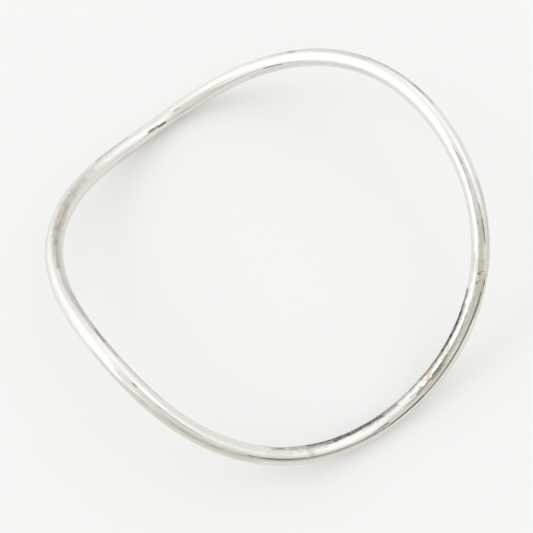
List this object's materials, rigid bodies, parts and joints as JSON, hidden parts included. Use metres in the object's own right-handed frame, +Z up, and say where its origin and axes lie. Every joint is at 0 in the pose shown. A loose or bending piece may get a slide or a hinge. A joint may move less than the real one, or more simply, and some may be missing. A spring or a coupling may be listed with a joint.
{
  "type": "wavy wire bangle",
  "caption": "Closed bangle of plain round silver wire, bent by hand into a gentle wave, so that it rests on its low bends and lifts to a crest between them.",
  "frame": {"origin": "the middle of the ring's box, on the surface that it rests on", "axes": "+Z up, out of the wrist opening; +X towards the higher crest; the two low bends that touch the surface lie near the Y axis"},
  "size_m": [0.065, 0.0662, 0.0193],
  "materials": {
    "silver": "polished silver with fine wear scratches and a faint warm tarnish"
  },
  "bodies": {
    "root": {"bangle": "silver"}
  },
  "joints": []
}
